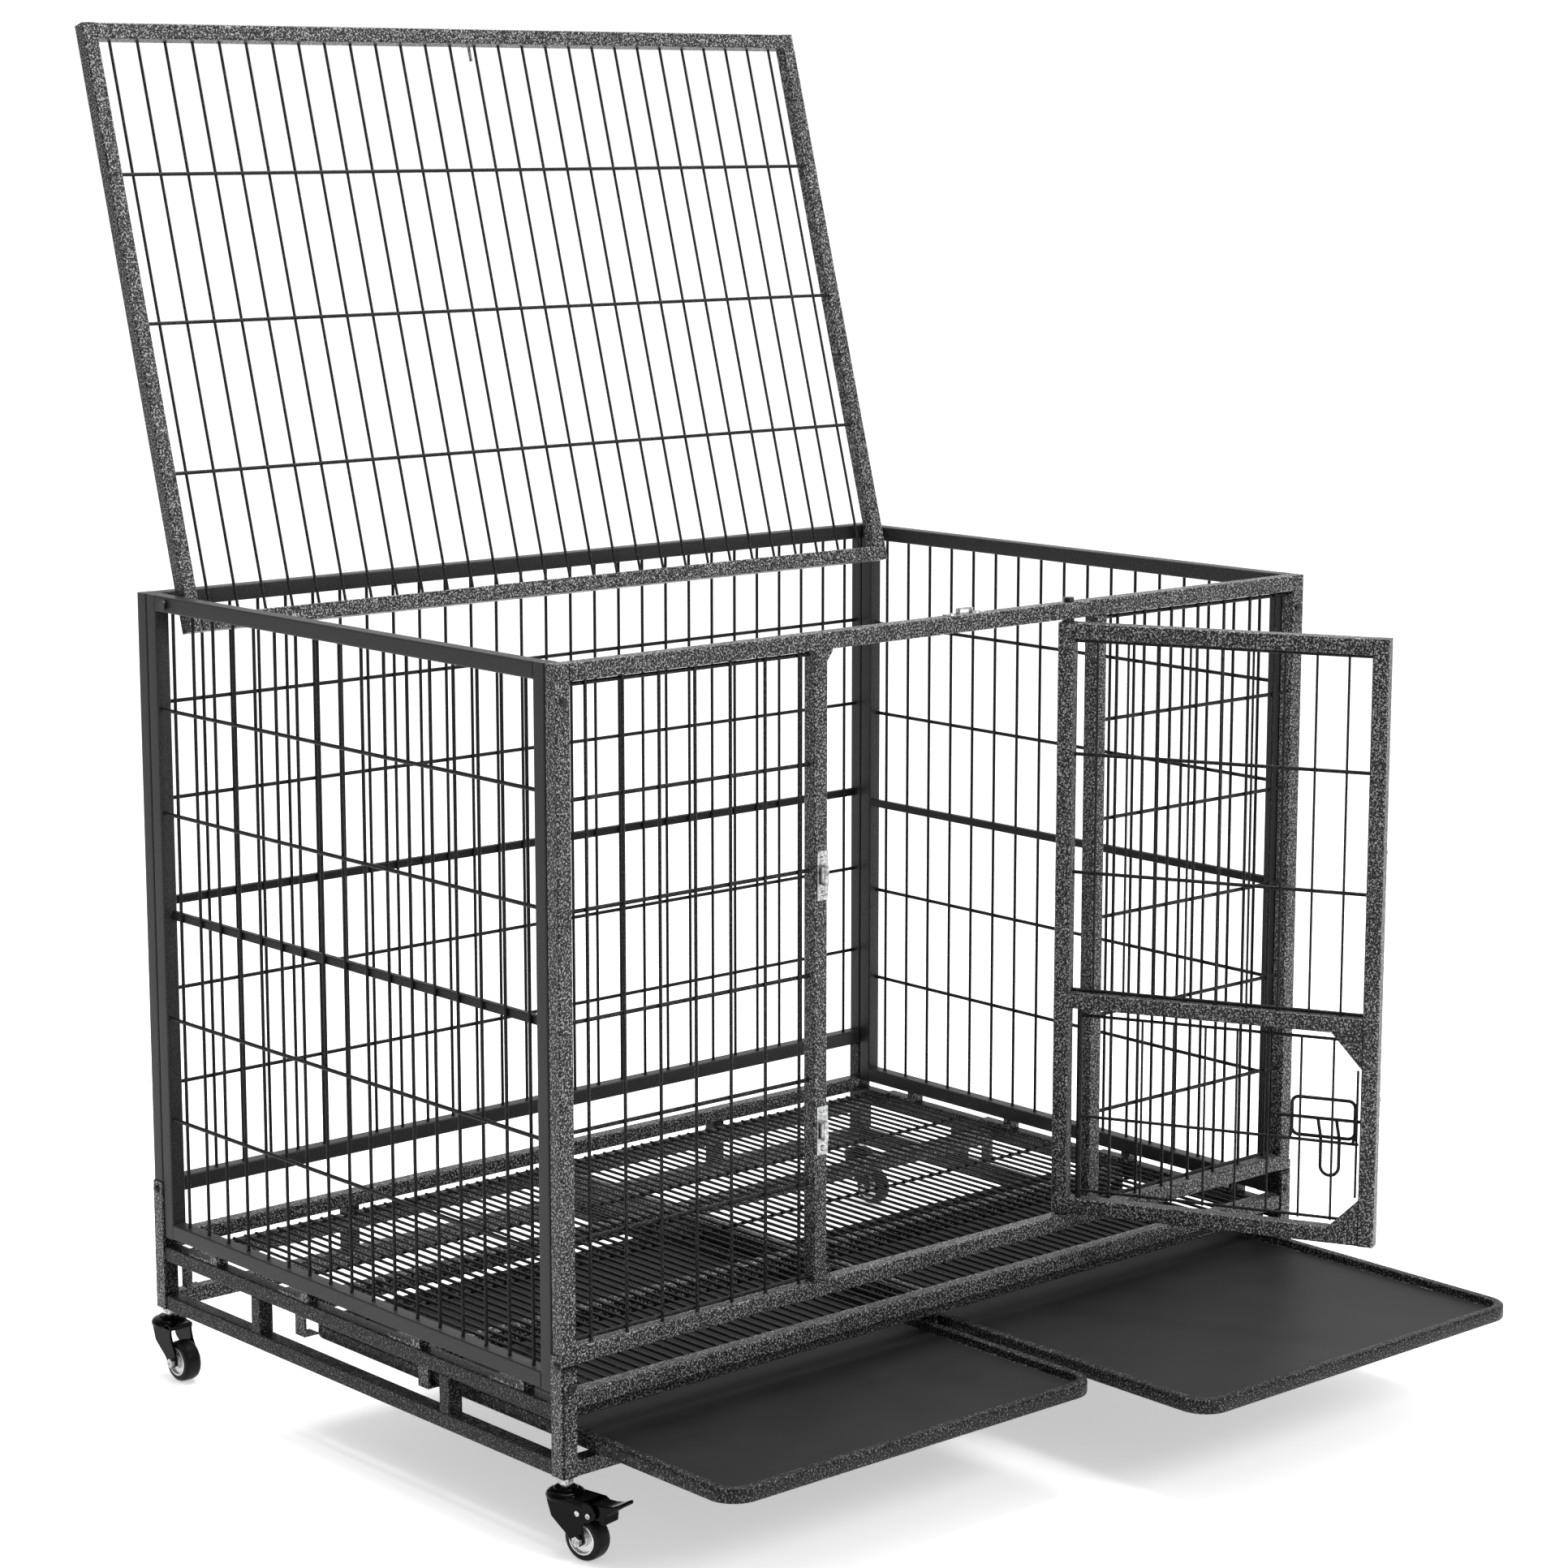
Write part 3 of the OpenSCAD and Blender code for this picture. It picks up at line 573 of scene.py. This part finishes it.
def door_mesh(bm):
    mid = (OPEN_F + OPEN_X) / 2
    yv, yh = -CY + 1.9, -CY - 1.5
    for k in range(-4, 5):
        wz(bm, mid + k * 37.3, yv, 503, 926.5, 1.5)
        for z in (504, 925.5):
            blob(bm, (mid + k * 37.3, yv, z), 2.1)
    for z in (506.4, 648, 789, 923.1):
        wx(bm, OPEN_F - 1, OPEN_X + 1, yh, z, 2.2)
        for x in (OPEN_F, OPEN_X):
            blob(bm, (x, yh, z), 2.8)


def feeder(bm):
    rx, edge = HINGE_X - 31, HINGE_X - 370
    wz(bm, rx, -CY, 248, 490, 3.5)
    for z in (262, 353, 476):
        wx(bm, edge if z == 353 else HINGE_X - 351, rx - 1.5, -CY - 0.4, z, 1.9)
        blob(bm, (rx - 3.2, -CY - 0.4, z), 2.6)
    for k in range(8):
        wz(bm, HINGE_X - 70.3 - k * 38.4, -CY + 2.7, 260, 478, 1.5)
    wz(bm, edge + 2, -CY + 2.7, 290, 442, 1.5)


def latch_loop(bm):
    y = -CY - 9.4
    x0, x1, z0, z1, r = HINGE_X - 363, HINGE_X - 288, 356.1, 401.4, 8.0
    pts = [((x0 + x1) / 2, y, z0)]
    pts += arc(x1 - r, z0 + r, r, -90, 0, y)
    pts += arc(x1 - r, z1 - r, r, 0, 90, y)
    pts += arc(x0 + r, z1 - r, r, 90, 180, y)
    pts += arc(x0 + r, z0 + r, r, 180, 270, y)
    pts += [((x0 + x1) / 2 - 0.1, y, z0)]
    sweep(bm, pts, 2.1)
    for x in (x0, x1):
        sweep(bm, [(x, y + 0.6, z0 + r), (x, -CY - 5, z0 + 1), (x, -CY - 0.8, z0 - 2.2)], 1.9)


def latch(bm):
    y = -CY - 4.9
    wx(bm, OPEN_F + 0.6, HINGE_X - 270, y, 379, 2.1)
    a, b, r = HINGE_X - 346, HINGE_X - 324, 11.0
    mid, zb = (a + b) / 2, 311.6 + r
    pts = [(a + 3.6, y, 378.5), (a + 2.8, y, 372), (a + 0.8, y, 361), (a, y, 354), (a, y, 340)]
    pts += arc(mid, zb, r, 180, 360, y, 14)
    pts += [(b, y, 340), (b, y, 354), (b + 0.8, y, 361), (b + 2.8, y, 372), (b + 3.6, y, 378.5)]
    sweep(bm, pts, 2.0)
    for x in (a + 3.6, b + 3.6):
        blob(bm, (x, y, 378.2), 2.7)


piece("look_latch_loop", latch_loop, "feeder_door", ["feeder_latch_loop"], HAMMER_WIRE, DOOR)
piece("look_latch", latch, "feeder_slide_latch", ["feeder_latch"], HAMMER_WIRE, DOOR)
piece("look_door_rails", door_rails, "door", ["door_rails"], HAMMER, DOOR)
piece("look_door_mesh", door_mesh, "door", ["door_mesh"], HAMMER_WIRE, DOOR)
piece("look_feeder_grid", feeder, "feeder_door", ["feeder_grid"], HAMMER_WIRE, DOOR)


# ---------------------------------------------------------------- trays
def ring_path(w, l, r, z, segs=10):
    pts = []
    for k, (sx, sy) in enumerate([(1, 1), (-1, 1), (-1, -1), (1, -1)]):
        for i in range(segs + 1):
            t = math.radians(90 * k + 90 * i / segs)
            pts.append((sx * (w / 2 - r) + r * math.cos(t), sy * (l / 2 - r) + r * math.sin(t), z))
    return pts


def tray(bm, rim=True):
    w, l, r, z0, z1 = 546.0, 764.0, 34.0, 116.0, 132.0
    prof = [(0.6, z0), (0.0, z0 + 1.5), (0.0, z1 - 3), (0.5, z1 - 1.2), (1.8, z1 - 0.2), (3.2, z1), (10.2, z1),
            (11.6, z1 - 0.4), (12.2, z1 - 1.6), (12.6, z1 - 7), (13.3, z1 - 8.4), (14.8, z1 - 9)]
    rings = [[bm.verts.new(p) for p in ring_path(w - 2 * o, l - 2 * o, r - o, z)] for o, z in prof]
    n = len(rings[0])
    for r0, r1 in zip(rings, rings[1:]):
        for i in range(n):
            bm.faces.new((r0[i], r0[(i + 1) % n], r1[(i + 1) % n], r1[i]))
    f = bm.faces.new(rings[-1])
    f.material_index = 1


def tray_piece(side):
    lo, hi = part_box("tray_" + side)
    place = Matrix.Translation(((lo.x + hi.x) / 2, (lo.y + hi.y) / 2, 0)) @ Matrix.Diagonal((0.001, 0.001, 0.001, 1))
    # the tray rim (slot 0) takes the painted-shade copy of the hammertone paint; the floor (slot 1) takes the tray's
    # own dark paint
    ob = piece("look_tray_" + side, tray, side + "_tray", ["tray_" + side], [HAMMER_PAINTED_SHADE, TRAY], place,
               weighted=False)
    s = ob.modifiers.new("sheet", "SOLIDIFY")
    s.thickness = 0.0012
    s.offset = -1


tray_piece("left")
tray_piece("right")

# ---------------------------------------------------------------- casters
TRAIL = 30.0
CHEEK_LOW = [(14, 71), (14, 62), (8, 45), (-3, 36.5), (-12, 30), (-20, 21.5), (-25, 18.5), (-32, 18.5), (-36, 22),
             (-36.5, 31)]
CHEEK_LONG = CHEEK_LOW + [(-35, 41), (-38.5, 46), (-46, 49.5), (-53, 54), (-54, 60), (-51, 66), (-44, 70)]
CHEEK_SHORT = CHEEK_LOW + [(-34, 40), (-29, 49), (-26, 58), (-26, 66), (-23, 70)]
PEDAL = [(-39.5, 51.5), (-39.5, 60.5), (-45, 63), (-47, 69.5), (-63, 69.5), (-74, 71.5), (-83, 75.5), (-86, 75),
         (-84.5, 71.5), (-75.5, 66.5), (-69.5, 62), (-65, 59), (-64, 48.5), (-58.5, 46.5), (-54.5, 50.5), (-50, 50.5)]


def dome(bm):
    lathe(bm, [(5.6, 64), (19.6, 64), (21.3, 64.7), (22, 66.6), (21.4, 69.4), (19.4, 71.8), (16.4, 73.2), (13.2, 73.9),
               (12.6, 75.2), (11.6, 76), (5.6, 76), (5.6, 64)], Matrix.Identity(4), 64)


def fork(brake):
    def build(bm):
        back = -37 if brake else -27
        slab(bm, [(back, 63.5), (back, 69.5), (0, 69.5), (0, 63.5)], -16, 16)
        for s in (-1, 1):
            slab(bm, CHEEK_LONG if brake else CHEEK_SHORT, s * 14.5 - 1.5, s * 14.5 + 1.5)
    return build


def pedal(bm):
    slab(bm, PEDAL, -11.5, 11.5)


WHEEL = Matrix.Translation((0, -TRAIL, 25)) @ Matrix.Rotation(math.radians(90), 4, "Y")


def tyre(bm):
    side = [(17.5, 11), (20.2, 11), (22.2, 10.5), (23.7, 9.2), (24.6, 7.2), (24.95, 4.4), (25, 0)]
    prof = [(r, -a) for r, a in side] + side[-2::-1] + [(17.5, -11)]
    lathe(bm, prof, WHEEL, 96)


def hub(bm):
    half = [(17.5, 10.9), (16.9, 11.3), (15.6, 11.3), (14.9, 10.6), (14.2, 8.4), (8.6, 8.2), (8.2, 11.6), (7.6, 12),
            (3.1, 12)]
    prof = [(r, a) for r, a in half] + [(r, -a) for r, a in half[::-1]] + [half[0]]
    lathe(bm, prof, WHEEL, 96)


for tag, sx, sy in (("fl", -1, -1), ("fr", 1, -1), ("bl", -1, 1), ("br", 1, 1)):
    at = ROW @ Matrix.Translation((sx * CX, sy * CY, 0))
    if sy < 0:
        at = at @ Matrix.Rotation(math.radians(YAW), 4, "Z")
        piece("look_pedal_" + tag, pedal, "brake_" + tag, ["pedal_" + tag], FORK, at, 1.4, 25.0)
    piece("look_fork_" + tag, fork(sy < 0), "caster_" + tag, ["fork_" + tag], FORK, at, 0.9, 35.0)
    piece("look_crown_" + tag, dome, "caster_" + tag, ["fork_" + tag], FORK, at, 0.0, 50.0)
    piece("look_tyre_" + tag, tyre, "wheel_" + tag, ["tyre_" + tag], TYRE, at, 0.0, 50.0)
    piece("look_hub_" + tag, hub, "wheel_" + tag, ["hub_" + tag], RING, at, 0.0, 30.0)

# ---------------------------------------------------------------- CAD nodes with better materials
EASED = {"corner_plates": 0.5, "front_gussets": 0.6, "door_gussets": 0.6, "bolt_keepers": 0.25, "side_rest_tabs": 0.8,
         "tray_hangers": 0.4, "door_bolt_guides": 0.35, "lid_bolt_guide": 0.35, "axle_fl": 0.4, "axle_fr": 0.4,
         "axle_bl": 0.4, "axle_br": 0.4}
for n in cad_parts:
    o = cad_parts[n]
    mat = HAMMER
    if n.startswith("fork_") or n.startswith("pedal_"):
        mat = FORK
    elif n.startswith("tyre_"):
        mat = TYRE
    elif n.startswith("hub_"):
        mat = RING
    elif n.startswith("axle_") or n in ("caster_stems", "bolt_keepers", "keeper_screws", "lid_bolt_guide", "lid_bolt",
                                        "door_bolt_guides", "door_bolt_upper", "door_bolt_lower"):
        mat = ZINC
    elif n in ("frame_bolts", "lid_pins", "door_pins"):
        mat = DARK
    for s in o.material_slots:
        s.material = mat
    if n in EASED:
        b = o.modifiers.new("edge", "BEVEL")
        b.width = EASED[n] / 1000
        b.segments = 2
        b.limit_method = "ANGLE"
        b.angle_limit = math.radians(40)
        b.harden_normals = False

# ---------------------------------------------------------------- studio
bpy.ops.mesh.primitive_circle_add(vertices=64, radius=90, fill_type="NGON", location=(0, 0, 0))
floor = bpy.context.object
floor.name = "floor"
m, nt, p = new_mat("studio_floor")
p.inputs["Base Color"].default_value = (0.85, 0.85, 0.85, 1)
p.inputs["Roughness"].default_value = 0.9
p.inputs["Specular IOR Level"].default_value = 0.1
p.inputs["Emission Color"].default_value = (1, 1, 1, 1)
p.inputs["Emission Strength"].default_value = 0.5
floor.data.materials.append(m)

world = bpy.data.worlds.new("studio")
world.use_nodes = True
bg = world.node_tree.nodes["Background"]
wt = world.node_tree
sky = wt.nodes.new("ShaderNodeTexCoord").outputs["Generated"]
split = wt.nodes.new("ShaderNodeSeparateXYZ")
wt.links.new(sky, split.inputs["Vector"])
across = spread(wt, split.outputs["X"], start=-1.0, end=1.0)
wt.links.new(ramp(wt, across, [(0.1, (0.3, 0.3, 0.31)), (0.58, (1, 1, 1))]), bg.inputs["Color"])
bg.inputs["Strength"].default_value = 1.0
bpy.context.scene.world = world
bpy.context.scene.view_settings.view_transform = "Standard"


def area(name, loc, target, size, power):
    d = bpy.data.lights.new(name, "AREA")
    d.shape = "DISK"
    d.size = size
    d.energy = power
    o = bpy.data.objects.new(name, d)
    o.location = loc
    o.rotation_euler = (Vector(target) - Vector(loc)).to_track_quat("-Z", "Y").to_euler()
    bpy.context.scene.collection.objects.link(o)
    return o


area("top_soft", (0.4, 0.2, 4.5), (0, 0, 0.6), 3.0, 240)
area("key", (0.8, -4.2, 3.2), (0, 0, 0.7), 1.6, 90)

cam_data = bpy.data.cameras.new("camera")
cam_data.lens = 86.76
cam_data.sensor_width = 36
cam_data.clip_end = 200
cam = bpy.data.objects.new("camera", cam_data)
cam.location = (OX - 2.9625, OY - 3.4431, 1.529)
cam.rotation_euler = Vector((0.65256, 0.73724, -0.17506)).to_track_quat("-Z", "Y").to_euler()
bpy.context.scene.collection.objects.link(cam)
bpy.context.scene.camera = cam
